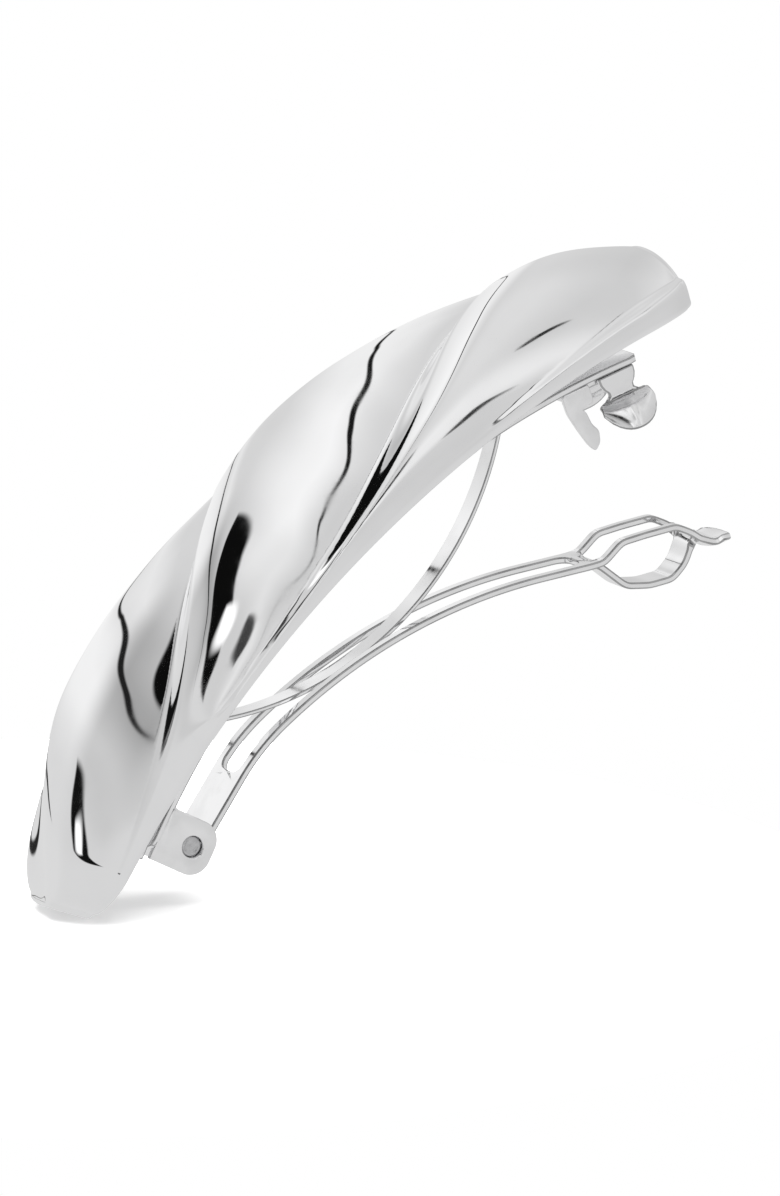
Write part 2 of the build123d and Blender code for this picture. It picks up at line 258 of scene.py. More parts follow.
# mesh steps round the wall; every inner step meets an outer one, so that the ends close
OUTER_STEPS, RIM_STEPS, INNER_STEPS = 150, 8, 50
ROUND_STEPS = OUTER_STEPS + INNER_STEPS + 2 * RIM_STEPS
OUTER_SHARE = OUTER_STEPS / ROUND_STEPS
RIM_SHARE = RIM_STEPS / ROUND_STEPS


def soft_positive(f, value, softness):
    """The value where it is well above 0, fading softly to 0 below."""
    root = f.math("SQRT", f.add(f.mul(value, value), f.mul(softness, softness)))
    return f.mul(0.5, f.add(value, root))


def relief_height(f, get, station, angle):
    """How far the cover lies under its dome at a station and an angle round the section."""
    bounded = f.between(f.sub(f.div(angle, math.pi / 2), 1.0), -CREASE_REACH, CREASE_REACH)
    ratio = f.div(f.add(1.0, bounded), f.sub(1.0, bounded))
    spread = f.mul(0.5, f.math("LOGARITHM", ratio, math.e))
    crease = f.sub(station, f.mul(get("crease_spread"), spread))
    lobe = f.between(f.div(f.sub(crease, get("first_crease")), get("crease_pitch")), -4.0, 2.99)
    place = f.sub(lobe, f.math("MAXIMUM", f.math("FLOOR", lobe), -1.0))
    crest, softness = get("crest_place"), get("crest_round")
    before = f.sub(1.0, f.div(place, crest))
    beyond = f.math("MAXIMUM", f.sub(before, 1.0), 0.0)
    levelled = f.sub(1.0, f.math("EXPONENT", f.mul(-1.0 / OVERRUN, beyond)))
    before = f.add(f.math("MINIMUM", before, 1.0), f.mul(OVERRUN, levelled))
    ridge = f.mul(get("ridge_depth"), soft_positive(f, before, f.mul(3.0, softness)))
    after = f.div(f.sub(place, crest), f.sub(1.0, crest))
    whole = soft_positive(f, f.math("MULTIPLY", 1.0, 1.0), softness)
    after = f.between(f.div(soft_positive(f, after, softness), whole), 0.0, 1.0)
    fall = f.mul(get("valley_depth"), f.power(after, get("fall_power")))
    wider = f.math("MULTIPLY_ADD", f.mul(bounded, bounded), STEP_WIDENING, 1.0)
    blend = f.smooth(f.ramp(place, 0.0, f.mul(get("step_width"), wider)))
    blend = f.math("MAXIMUM", blend, f.math("LESS_THAN", lobe, 0.0))
    depth = f.mix(blend, get("valley_depth"), f.add(ridge, fall))
    return f.mul(-1.0, depth, f.power(f.math("SINE", angle), get("relief_fade")))


def cover_tree():
    """Geometry nodes that bend a flat grid into the closed wall of the twisted cover."""
    inputs = [(name, "NodeSocketFloat", 0.0) for name in COVER_INPUTS]
    inputs.append(("rows", "NodeSocketInt", 100))
    inputs.append(("Finish", "NodeSocketMaterial", None))
    tree = new_tree("twisted_cover", "GeometryNodeTree", inputs, [("Geometry", "NodeSocketGeometry")])
    f = Formula(tree, "geometry")
    sockets = f.node("NodeGroupInput").outputs

    def get(name):
        return sockets[name]

    grid = f.fill("GeometryNodeMeshGrid", {"Vertices X": get("rows"), "Vertices Y": ROUND_STEPS + 1})
    flat = f.fill("ShaderNodeSeparateXYZ", {0: f.node("GeometryNodeInputPosition").outputs[0]})
    along = f.mul(2.0, flat.outputs["X"])
    around = f.add(flat.outputs["Y"], 0.5)

    # along: the body's stations, then a quarter turn over each end's edge
    body = 1.0 - CAP_SHARE
    share = f.between(f.div(along, body), -1.0, 1.0)
    sign = f.math("SIGN", along)
    size = f.math("ABSOLUTE", share)
    over = f.mul(f.ramp(f.math("ABSOLUTE", along), body, 1.0), math.pi / 2)
    # around: outer skin, far rim, inner skin, near rim
    inner_start = OUTER_SHARE + RIM_SHARE
    inner_end = 1.0 - RIM_SHARE
    outer = f.ramp(around, 0.0, OUTER_SHARE)
    inner = f.ramp(around, inner_start, inner_end)
    rim = f.sub(f.ramp(around, OUTER_SHARE, inner_start), f.ramp(around, inner_end, 1.0))
    turned = f.sub(outer, inner)
    snapped = f.div(f.math("ROUND", f.mul(turned, float(INNER_STEPS))), float(INNER_STEPS))
    last_row = f.math("GREATER_THAN", f.math("ABSOLUTE", along), LAST_ROW)
    angle = f.mul(math.pi, f.mix(last_row, turned, snapped))
    half_wall = f.mul(0.5, get("wall"))
    open_wall = f.math("COSINE", over)
    turn = f.mul(math.pi, rim)
    inset = f.sub(half_wall, f.mul(half_wall, f.math("COSINE", turn), open_wall))
    lip = f.mul(half_wall, f.math("SINE", turn), open_wall)

    sine = f.math("MAXIMUM", f.math("SINE", angle), 0.0)
    cosine = f.math("COSINE", angle)
    station = f.mul(share, f.add(1.0, f.mul(get("end_bulge"), sine)))
    taper = f.power(size, get("dome_taper"))
    height = f.mix(taper, get("dome_height"), get("dome_end_height"))
    half_width = f.mix(f.mul(size, size), get("half_width"), get("end_half_width"))
    corner = f.ramp(size, get("corner_start"), 1.0)
    drawn = f.sub(1.0, f.math("SQRT", f.sub(1.0, f.mul(CORNER_ROUNDNESS, corner, corner))))
    cut = f.mix(f.math("GREATER_THAN", share, 0.0), get("hinge_corner"), get("catch_corner"))
    half_width = f.sub(half_width, f.mul(cut, drawn))
    waves = f.node("ShaderNodeTexNoise", noise_dimensions="2D")
    flat_place = f.fill("ShaderNodeCombineXYZ", {"X": f.mul(WAVES_ALONG, station), "Y": angle})
    f.put(waves.inputs["Vector"], flat_place.outputs[0])
    f.put(waves.inputs["Scale"], WAVE_SCALE)
    f.put(waves.inputs["Detail"], 0.0)
    wave = f.mul(get("waviness"), f.sub(waves.outputs[0], 0.5), sine)
    shift = f.add(f.sub(relief_height(f, get, station, angle), inset), wave)
    exponent = f.div(2.0, get("section_power"))
    squared = f.mul(f.math("SIGN", cosine), f.power(f.math("ABSOLUTE", cosine), exponent))
    across = f.mul(-1.0, f.add(f.mul(half_width, squared), f.mul(shift, cosine)))
    rise = f.add(f.mul(height, f.power(sine, exponent)), f.mul(shift, sine))
    radius = f.sub(f.add(get("rim_radius"), rise), lip)
    past = f.div(f.mul(sign, half_wall, f.math("SINE", over)), get("rim_radius"))
    bend = f.add(f.mul(station, get("half_angle")), past)
    centre = f.sub(get("rim_apex"), get("rim_radius"))
    place = f.fill("ShaderNodeCombineXYZ", {
        "X": f.mul(radius, f.math("SINE", bend)), "Y": across,
        "Z": f.add(centre, f.mul(radius, f.math("COSINE", bend)))})

    inside = f.fill("GeometryNodeStoreNamedAttribute", {
        "Geometry": grid.outputs["Mesh"]}, data_type="FLOAT", domain="POINT")
    f.put(inside.inputs["Name"], "inside")
    f.put(inside.inputs["Value"], f.ramp(inset, 0.0, get("wall")))
    bent = f.fill("GeometryNodeSetPosition", {
        "Geometry": inside.outputs[0], "Position": place.outputs[0]})
    closed = f.fill("GeometryNodeMergeByDistance", {"Distance": 0.01 * MM, "Geometry": bent.outputs[0]})
    end_tree(f, closed.outputs[0], sockets["Finish"])
    return tree


class BARRETTE_OT_cover(bpy.types.Operator):
    """Build the twisted cover"""
    bl_idname = "barrette.cover"
    bl_label = "Twisted Cover"

    def execute(self, context):
        sizes = context.scene.barrette_cover
        values = {name: getattr(sizes, name) for name in COVER_INPUTS + ("rows",)}
        values["Finish"] = metal("polished_silver_plate")
        cover = apply_tree(cover_tree(), "twisted_cover", values)
        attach(cover, "cover")
        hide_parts("cover_shell")
        return {"FINISHED"}


# ---- finishes ---------------------------------------------------------------------------------
# each metal: base tone, its share, share left where worn, roughness clean and worn, heights of
# scratches and grain, wear scales, and the inner skin's roughness and grain
METALS = {
    "polished_silver_plate": ("silver", 1.0, 0.97, (0.015, 0.06), (0.0000001, 0.0),
                              (700.0, 2.0, 130.0, 3000.0), (0.38, 0.00002)),
    "clasp_nickel_plate": ("nickel", 1.0, 0.9, (0.07, 0.2), (0.0000008, 0.0000004),
                           (1500.0, 10.0, 260.0, 5000.0), None),
    "rolled_spring_plate": ("nickel", 1.0, 0.92, (0.05, 0.16), (0.0000010, 0.0000003),
                            (1800.0, 14.0, 300.0, 5000.0), None),
    "stamped_nickel_plate": ("nickel", 0.98, 0.9, (0.1, 0.26), (0.0000008, 0.0000008),
                             (1500.0, 3.0, 320.0, 5500.0), None),
    # the bevelled edges: a rougher finish, with their tone halved to paint dark reflection lines along every
    # edge
    "sheared_strip_edge": ("nickel", 0.5, 0.65, (0.12, 0.3), (0.0000012, 0.000001),
                           (1700.0, 5.0, 350.0, 5200.0), None),
    "peened_pin_steel": ("steel", 1.0, 0.7, (0.22, 0.45), (0.000004, 0.000006),
                         (2600.0, 1.0, 900.0, 4200.0), None),
    "dull_bar_metal": ("steel", 1.0, 0.85, (0.28, 0.45), (0.0000015, 0.000002),
                       (1300.0, 5.0, 300.0, 4500.0), None),
}


# noise levels between which scratches and smudges rise, and where the inner skin's finish starts
SCRATCH_FROM, SCRATCH_TO = 0.45, 0.75
SMUDGE_FROM, SMUDGE_TO = 0.4, 0.7
INSIDE_FROM, INSIDE_TO = 0.55, 0.95


def wear_group():
    """A shader group: scratches, smudges and grain of a metal surface, as values."""
    name = "metal_wear"
    if name in bpy.data.node_groups:
        return bpy.data.node_groups[name]
    inputs = [("Scratch Scale", "NodeSocketFloat", 900.0), ("Stretch", "NodeSocketFloat", 1.0),
              ("Smudge Scale", "NodeSocketFloat", 160.0), ("Grain Scale", "NodeSocketFloat", 4000.0)]
    outputs = [(label, "NodeSocketFloat") for label in ("Scratches", "Smudges", "Grain")]
    tree = new_tree(name, "ShaderNodeTree", inputs, outputs)
    f = Formula(tree, "shader")
    sockets = f.node("NodeGroupInput").outputs
    place = f.node("ShaderNodeTexCoord").outputs["Object"]
    split = f.fill("ShaderNodeSeparateXYZ", {0: place})
    drawn = f.fill("ShaderNodeCombineXYZ", {
        "X": f.div(split.outputs["X"], sockets["Stretch"]), "Y": split.outputs["Y"],
        "Z": f.div(split.outputs["Z"], sockets["Stretch"])})

    def noise(vector, scale, detail):
        texture = f.fill("ShaderNodeTexNoise", {"Vector": vector, "Scale": scale, "Detail": detail})
        return texture.outputs[0]

    scratches = noise(drawn.outputs[0], sockets["Scratch Scale"], 4.0)
    scratches = f.smooth(f.ramp(scratches, SCRATCH_FROM, SCRATCH_TO))
    smudges = noise(place, sockets["Smudge Scale"], 3.0)
    smudges = f.smooth(f.ramp(smudges, SMUDGE_FROM, SMUDGE_TO))
    grain = noise(place, sockets["Grain Scale"], 2.0)
    out = f.node("NodeGroupOutput")
    for socket, value in zip(out.inputs, (scratches, smudges, grain)):
        f.put(socket, value)
    return tree


def metal(name):
    """One of the METALS: its colour, gloss and grain change a little over the surface."""
    if name in bpy.data.materials:
        return bpy.data.materials[name]
    settings = bpy.context.scene.barrette_finish
    tone, share, worn_share, roughness, bumps, scales, inside = METALS[name]
    base = tuple(share * part for part in getattr(settings, tone))
    tint = tuple(worn_share * part for part in base)
    material = bpy.data.materials.new(name)
    material.use_nodes = True
    tree = material.node_tree
    f = Formula(tree, "shader")
    shader = tree.nodes["Principled BSDF"]
    shader.inputs["Metallic"].default_value = 1.0
    wear = f.node("ShaderNodeGroup", node_tree=wear_group())
    for socket, value in zip(wear.inputs, scales):
        socket.default_value = value
    scratches, smudges, grain = wear.outputs
    shades = f.fill("ShaderNodeMix", {
        "Factor": f.mul(0.7, smudges), "A": (*base, 1.0), "B": (*tint, 1.0)}, data_type="RGBA")
    worn = f.add(f.mul(0.6 * settings.wear, smudges), f.mul(0.5 * settings.wear, scratches))
    worn = f.between(worn, 0.0, 1.0)
    rough = f.mix(worn, roughness[0], roughness[1])
    height = f.add(f.mul(bumps[0], scratches), f.mul(bumps[1], grain))
    if inside:
        mask = f.node("ShaderNodeAttribute", attribute_name="inside").outputs["Fac"]
        mask = f.smooth(f.ramp(mask, INSIDE_FROM, INSIDE_TO))
        rough = f.mix(mask, rough, f.add(inside[0], f.mul(0.15, grain)))
        height = f.add(height, f.mul(mask, inside[1], grain))
    tree.links.new(shades.outputs["Result"], shader.inputs["Base Color"])
    tree.links.new(rough, shader.inputs["Roughness"])
    bump = f.fill("ShaderNodeBump", {"Strength": 1.0, "Distance": 1.0, "Height": height})
    tree.links.new(bump.outputs[0], shader.inputs["Normal"])
    return material


# ---- sheet metal ------------------------------------------------------------------------------
def smooth_piece(name, mesh, material):
    """A smooth object, linked to the scene, from a mesh."""
    mesh.polygons.foreach_set("use_smooth", [True] * len(mesh.polygons))
    mesh.materials.append(material)
    piece = bpy.data.objects.new(name, mesh)
    bpy.context.scene.collection.objects.link(piece)
    return piece


def keep_modifiers(piece):
    """Turn a piece with modifiers into the plain mesh that they make."""
    depsgraph = bpy.context.evaluated_depsgraph_get()
    mesh = bpy.data.meshes.new_from_object(piece.evaluated_get(depsgraph))
    piece.modifiers.clear()
    old = piece.data
    piece.data = mesh
    bpy.data.meshes.remove(old)
    return piece


# steps of an edge's bevel, and the angles from which an edge is bevelled or shaded sharp
BEVEL_STEPS = 3
BEVEL_FROM = math.radians(50.0)
SHARP_FROM = math.radians(35.0)


def thicken(piece, thickness, edge):
    """Give a sheet its thickness and round its sheared edges, then keep the mesh."""
    # the bevel's faces take the edge finish, whose halved tone paints dark reflection lines along the edges
    piece.data.materials.append(metal("sheared_strip_edge"))
    solidify = piece.modifiers.new("thickness", "SOLIDIFY")
    solidify.thickness = thickness * MM
    solidify.offset = 0.0
    solidify.use_even_offset = True
    bevel = piece.modifiers.new("edges", "BEVEL")
    bevel.width = edge * MM
    bevel.segments = BEVEL_STEPS
    bevel.limit_method = "ANGLE"
    bevel.material = 1
    bevel.angle_limit = BEVEL_FROM
    bevel.use_clamp_overlap = False
    bevel.harden_normals = True
    return keep_modifiers(piece)


def sheet(name, rows, keep, thickness, edge, material):
    """A bevelled strip from rows of points, with the cells left out where keep says no."""
    width = len(rows[0])
    vertices = [point for row in rows for point in row]
    faces = []
    for i in range(len(rows) - 1):
        for j in range(width - 1):
            if keep(i, j):
                a = i * width + j
                faces.append((a, a + 1, a + width + 1, a + width))
    data = bpy.data.meshes.new(name)
    data.from_pydata([Vector(point) * MM for point in vertices], [], faces)
    data.validate()
    piece = smooth_piece(name, data, material)
    mesh = bmesh.new()
    mesh.from_mesh(piece.data)
    loose = [v for v in mesh.verts if not v.link_faces]
    bmesh.ops.delete(mesh, geom=loose, context="VERTS")
    bmesh.ops.remove_doubles(mesh, verts=mesh.verts, dist=0.002 * MM)
    mesh.to_mesh(piece.data)
    mesh.free()
    return thicken(piece, thickness, edge)


def rounded(points, radius, steps=5):
    """A closed outline whose corners are rounded by arcs of up to the given radius."""
    outline = []
    count = len(points)
    for i in range(count):
        before, corner, after = (Vector(points[(i + k) % count]) for k in (-1, 0, 1))
        a, b = (before - corner), (after - corner)
        reach = min(radius, 0.48 * a.length, 0.48 * b.length)
        start, end = corner + a.normalized() * reach, corner + b.normalized() * reach
        for k in range(steps + 1):
            t = k / steps
            outline.append(start * (1 - t) ** 2 + corner * (2 * t * (1 - t)) + end * t ** 2)
    return outline


def circle(centre, radius, steps=40):
    return [Vector((centre[0] + radius * math.cos(2 * math.pi * k / steps),
                    centre[1] + radius * math.sin(2 * math.pi * k / steps))) for k in range(steps)]


def inward(loop, sign):
    """The unit normals of a closed loop, to its left if sign is 1."""
    normals = []
    for i in range(len(loop)):
        along = loop[(i + 1) % len(loop)] - loop[i - 1]
        normals.append(Vector((-along.y, along.x)).normalized() * sign)
    return normals


def area(loop):
    return sum(loop[i - 1].x * p.y - p.x * loop[i - 1].y for i, p in enumerate(loop)) / 2


def flat_plate(outline, holes, thickness, edge, place):
    """A closed plate with rounded edges; place turns (u, v, height) into a point.

    Returns the points and faces, the points counted from 0.
    """
    vertices, faces, caps = [], [], ([], [])
    half = thickness / 2
    levels = []
    for k in range(4):
        turn = math.pi / 2 * k / 3
        levels.append((edge * (1 - math.sin(turn)), -half + edge * (1 - math.cos(turn))))
    levels += [(inset, -height) for inset, height in reversed(levels)]
    for loop in [outline] + holes:
        ways = 1 if area(loop) > 0 else -1
        normals = inward(loop, ways if loop is outline else -ways)
        count = len(loop)
        first = len(vertices)
        for inset, height in levels:
            vertices += [place(p.x + n.x * inset, p.y + n.y * inset, height)
                         for p, n in zip(loop, normals)]
        for level in range(len(levels) - 1):
            for i in range(count):
                a = first + level * count + i
                b = first + level * count + (i + 1) % count
                faces.append((a, b, b + count, a + count))
        last = first + (len(levels) - 1) * count
        caps[0].append(list(range(first, first + count)))
        caps[1].append(list(range(last, last + count)))
    return vertices, faces, caps


def plate_piece(name, plates, material):
    """One piece from several closed plates."""
    mesh = bmesh.new()
    for vertices, faces, caps in plates:
        made = [mesh.verts.new(Vector(point) * MM) for point in vertices]
        for face in faces:
            mesh.faces.new([made[i] for i in face])
        for cap in caps:
            edges = []
            for loop in cap:
                for i, index in enumerate(loop):
                    edge = mesh.edges.get((made[loop[i - 1]], made[index]))
                    edges.append(edge)
            bmesh.ops.triangle_fill(mesh, use_beauty=True, use_dissolve=False, edges=edges)
    bmesh.ops.recalc_face_normals(mesh, faces=mesh.faces)
    data = bpy.data.meshes.new(name)
    mesh.to_mesh(data)
    mesh.free()
    piece = smooth_piece(name, data, material)
    data.set_sharp_from_angle(angle=SHARP_FROM)
    return piece


def finish_piece(piece, body, nodes):
    """Hand a finished piece to the frame."""
    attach(piece, body)
    if nodes:
        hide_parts(*nodes)


def soft_line(points, radius):
    """A line through steps (distance, height) whose bends are rounded over the given radius."""
    def straight(s):
        if s <= points[0][0]:
            return points[0][1]
        for (s0, h0), (s1, h1) in zip(points, points[1:]):
            if s <= s1:
                return h0 + (h1 - h0) * (s - s0) / (s1 - s0)
        return points[-1][1]

    def line(s):
        shares = [(k - 4) / 4 for k in range(9)]
        weights = [1.0 - 0.75 * abs(share) for share in shares]
        total = sum(weight * straight(s + share * radius) for share, weight in zip(shares, weights))
        return total / sum(weights)

    return line


def spread(stops, step):
    """Distances from the first stop to the last, through every stop, no further apart than step."""
    distances = [stops[0]]
    for start, end in zip(stops, stops[1:]):
        count = max(1, math.ceil((end - start) / step - 1e-6))
        distances += [start + (end - start) * (k + 1) / count for k in range(count)]
    return distances


# ---- clasp arm --------------------------------------------------------------------------------
PLATE_RADIUS = 100.0
PIN_ANGLE = math.radians(-21.4)
PIN_DROP = 4.0
PIN_X = (PLATE_RADIUS - PIN_DROP) * math.sin(PIN_ANGLE)
PIN_Z = (PLATE_RADIUS - PIN_DROP) * math.cos(PIN_ANGLE) - PLATE_RADIUS
ARM_ROOT_SLOPE = math.radians(15.0)
ARM_CURL_RADIUS = 1.65
ARM_CURL = math.radians(288.0)
ARM_RUNS = ((9.6, 0.0), (25.0 * math.radians(17.0), 25.0), (67.0 * math.radians(31.0), 67.0),
            (7.4, 0.0))
ARM_THICKNESS = 0.8
ARM_HALF = 3.85
ARM_WEB_END = sum(run for run, _ in ARM_RUNS)
ARM_SLOT = (9.74, 59.04)
ARM_SLOT_HALF = 2.4
ARM_SLOT_CORNER = 1.4
EYE_START, EYE_END = 0.5, 12.6
EYE_RAIL = [(-1.0, 0.0), (0.6, 0.1), (3.1, 1.9), (6.2, 2.1), (10.2, 2.2), (12.2, 1.0),
            (13.0, 0.2), (15.3, -0.9), (18.2, -0.5)]
EYE_TONGUE = [(-1.0, 0.0), (0.4, -0.3), (3.7, -3.7), (6.7, -4.3), (9.7, -4.2), (11.7, -2.6),
              (13.0, 0.1), (15.3, -0.9), (18.2, -0.5)]
FINGER_START, FINGER_END = 13.2, 18.2
FINGER_HALF = 2.9
FINGER_DISH = 0.5
FINGER_TIP = 2.6
TIP_MARGIN, TIP_POWER = 1.03, 2.4
# half widths of the eye's gap and of its tongue, and a mesh line this far inside the edge
EYE_HALF = 2.62
TONGUE_HALF = 2.12
RAIL_BEVEL_ROOM = 0.35


def arm_point(distance):
    """A point on the arm's middle line, in X and Z, and its heading there."""
    heading = ARM_ROOT_SLOPE
    if distance < 0:
        turn = heading - math.pi / 2 + distance / ARM_CURL_RADIUS
        return (PIN_X + ARM_CURL_RADIUS * math.cos(turn), PIN_Z + ARM_CURL_RADIUS * math.sin(turn),
                turn + math.pi / 2)
    x = PIN_X + ARM_CURL_RADIUS * math.sin(heading)
    z = PIN_Z - ARM_CURL_RADIUS * math.cos(heading)
    for run, radius in ARM_RUNS:
        step = min(distance, run)
        if radius:
            x += radius * math.sin(heading)
            z -= radius * math.cos(heading)
            heading -= step / radius
            x -= radius * math.sin(heading)
            z += radius * math.cos(heading)
        else:
            x += step * math.cos(heading)
            z += step * math.sin(heading)
        distance -= step
        if distance <= 0:
            return x, z, heading
    return x + distance * math.cos(heading), z + distance * math.sin(heading), heading


def arm_half_width(distance):
    """Half of the arm's width at a distance from its root."""
    past = distance - ARM_WEB_END
    if past < FINGER_START - 1.0:
        return ARM_HALF
    neck = min(1.0, (past - FINGER_START + 1.0) / 2.2)
    neck = neck * neck * (3 - 2 * neck)
    return ARM_HALF + (FINGER_HALF - ARM_HALF) * neck


def slot_half_width(distance):
    """Half of the slot's width, rounded at both ends."""
    room = min(distance - ARM_SLOT[0], ARM_SLOT[1] - distance)
    inset = max(0.0, 1.0 - room / ARM_SLOT_CORNER)
    return ARM_SLOT_HALF - ARM_SLOT_CORNER * (1 - math.sqrt(max(0.0, 1 - inset ** 2)))


def arm_sheet(material):
    rail_line = soft_line(EYE_RAIL, 0.7)
    tongue_line = soft_line(EYE_TONGUE, 0.8)
    web = ARM_WEB_END
    corner = [ARM_SLOT_CORNER * (1 - math.cos(math.pi / 2 * k / 6)) for k in range(1, 7)]
    slot_stops = [ARM_SLOT[0]] + [ARM_SLOT[0] + c for c in corner]
    slot_stops += [ARM_SLOT[1] - c for c in reversed(corner)] + [ARM_SLOT[1]]
    distances = spread([-ARM_CURL * ARM_CURL_RADIUS, 0.0], 0.3)[:-1]
    distances += spread([0.0] + slot_stops + [web + EYE_START, web + EYE_END, web + FINGER_START,
                                              web + FINGER_END - FINGER_TIP], 0.9)[:-1]
    distances = [d for d in distances if d < web - 1.0] + spread(
        [web - 0.9, web + EYE_START, web + EYE_END, web + FINGER_END - FINGER_TIP], 0.32)[:-1]
    tip = web + FINGER_END - FINGER_TIP
    distances += [tip + FINGER_TIP * k / 8 for k in range(9)]

    def keep(i, j):
        middle = (distances[i] + distances[i + 1]) / 2
        past = middle - web
        if ARM_SLOT[0] < middle < ARM_SLOT[1]:
            return j < 3 or j > 8
        if EYE_START < past < EYE_END:
            return j not in (3, 8)
        return True

    rows = []
    for distance in distances:
        past = distance - web
        half = arm_half_width(distance)
        scale = half / ARM_HALF
        inner = ARM_SLOT_HALF
        if ARM_SLOT[0] <= distance <= ARM_SLOT[1]:
            inner = slot_half_width(distance)
        if past > -1.0:
            inner = EYE_HALF
        cut = min(TONGUE_HALF, inner - 0.3)
        sides = [half, half - RAIL_BEVEL_ROOM * scale, (half + inner * scale) / 2, inner * scale,
                 cut * scale, cut * 0.5 * scale]
        across = [-v for v in sides] + [0.0] + sides[::-1]
        row = []
        for j, y in enumerate(across):
            line = tongue_line if 4 <= j <= 8 else rail_line
            height = line(past) if past > -1.5 else 0.0
            reach = distance
            if past > FINGER_START:
                share = min(1.0, (past - FINGER_START) / 1.5)
                height -= FINGER_DISH * share * (1.0 - (y / half) ** 2)
            if distance > tip:
                reach = tip + (distance - tip) * math.sqrt(1.0 - (abs(y) / (TIP_MARGIN * half)) ** TIP_POWER)
            x, z, heading = arm_point(reach)
            row.append((x - height * math.sin(heading), y, z + height * math.cos(heading)))
        rows.append(row)
    return sheet("clasp_arm_strip", rows, keep, ARM_THICKNESS, 0.2, material)


class BARRETTE_OT_arm(bpy.types.Operator):
    """Build the slotted arm that closes over the hair"""
    bl_idname = "barrette.arm"
    bl_label = "Clasp Arm"

    def execute(self, context):
        finish_piece(arm_sheet(metal("rolled_spring_plate")), "arm", ["clasp_arm"])
        return {"FINISHED"}


# ---- tension bow ------------------------------------------------------------------------------
BOW_RADIUS = 39.0
BOW_LOW = -11.5
BOW_MIDDLE = 1.0
BOW_HALF_SPAN = 23.4
BOW_HALF = 1.5
BOW_THICKNESS = 0.5
FOOT_LENGTH = 5.0


def on_plate(radius, angle):
    """A point at a radius from the base plate's centre, its angle counted from straight up."""
    return radius * math.sin(angle), radius * math.cos(angle) - PLATE_RADIUS


def bow_sheet(material):
    reach = math.asin(BOW_HALF_SPAN / BOW_RADIUS)
    lift = BOW_THICKNESS / 2 + 0.02
    side_line = []
    for place in (-1, 1):
        knee = BOW_MIDDLE + place * BOW_HALF_SPAN
        near = math.asin(knee / PLATE_RADIUS) + place * math.radians(1.0)
        foot = [on_plate(PLATE_RADIUS - lift, near + place * share * FOOT_LENGTH / PLATE_RADIUS)
                for share in (1.0, 0.75, 0.5, 0.25, 0.0)]
        side_line.append(foot)
    arc = []
    for k in range(49):
        angle = -reach + 2 * reach * k / 48
        arc.append((BOW_MIDDLE + BOW_RADIUS * math.sin(angle),
                    BOW_LOW + BOW_RADIUS * (1 - math.cos(angle))))
    line = side_line[0] + arc + side_line[1][::-1]
    rows = []
    for i, (x, z) in enumerate(line):
        end = min(i, len(line) - 1 - i)
        half = BOW_HALF - (0.35 if end == 0 else 0.0)
        rows.append([(x, y, z) for y in (-half, -half / 2, 0.0, half / 2, half)])
    return sheet("tension_bow_strip", rows, lambda i, j: True, BOW_THICKNESS, 0.14, material)


class BARRETTE_OT_bow(bpy.types.Operator):
    """Build the bow that presses the hair against the arm"""
    bl_idname = "barrette.bow"
    bl_label = "Tension Bow"

    def execute(self, context):
        finish_piece(bow_sheet(metal("rolled_spring_plate")), "cover", ["tension_bow"])
        return {"FINISHED"}


# ---- base plate with its ears -------------------------------------------------------------------
PLATE_THICKNESS = 0.8
PLATE_HALF = 4.9
PLATE_ENDS = (math.radians(-22.6), math.radians(24.4))
PLATE_TAB = 1.6
PLATE_TAB_HALF = 2.6
BOW_SLOT = 1.6
BOW_SLOT_HALF = 1.8
EAR_HALF = 3.2
EAR_CORNER = 2.4
EAR_BELOW_PIN = 2.7
EAR_THICKNESS = 0.8
BORE_RADIUS = 1.25


def at_plate(angle):
    """Turn (along, across, up) at an angle on the plate's underside into a point."""
    x, z = on_plate(PLATE_RADIUS, angle)
    c, s = math.cos(angle), math.sin(angle)
    return lambda along, across, up: (x + along * c + up * s, across, z - along * s + up * c)


def plate_sheet(material):
    start, end = PLATE_ENDS[0] * PLATE_RADIUS, PLATE_ENDS[1] * PLATE_RADIUS
    slots = []
    for place in (-1, 1):
        centre = math.asin((BOW_MIDDLE + place * (BOW_HALF_SPAN + FOOT_LENGTH - 0.4)) / PLATE_RADIUS)
        slots.append(centre * PLATE_RADIUS)
    stops = [start - PLATE_TAB, start - PLATE_TAB + 0.6, start, start + 0.4, start + 1.2]
    for centre in slots:
        stops += [centre - BOW_SLOT / 2, centre + BOW_SLOT / 2]
    stops += [end - 1.2, end - 0.4, end]
    distances = spread(stops, 1.2)
    across = [-PLATE_HALF, -4.4, -3.6, -PLATE_TAB_HALF, -BOW_SLOT_HALF, -0.9, 0.0, 0.9,
              BOW_SLOT_HALF, PLATE_TAB_HALF, 3.6, 4.4, PLATE_HALF]

    def keep(i, j):
        middle = (distances[i] + distances[i + 1]) / 2
        if middle < start:
            return 3 <= j <= 8
        inside = any(abs(middle - centre) < BOW_SLOT / 2 for centre in slots)
        return not (inside and 4 <= j <= 7)

    rows = []
    for distance in distances:
        room = min(distance - start, end - distance)
        inset = max(0.0, 1.0 - room / 1.2) if distance >= start else 0.0
        half = PLATE_HALF - 1.2 * (1 - math.sqrt(max(0.0, 1 - inset ** 2)))
        row = []
        for y in across:
            y = max(-half, min(half, y)) if abs(y) < PLATE_HALF else math.copysign(half, y)
            x, z = on_plate(PLATE_RADIUS + PLATE_THICKNESS / 2, distance / PLATE_RADIUS)
            row.append((x, y, z))
        rows.append(row)
    return sheet("base_plate_strip", rows, keep, PLATE_THICKNESS, 0.18, material)


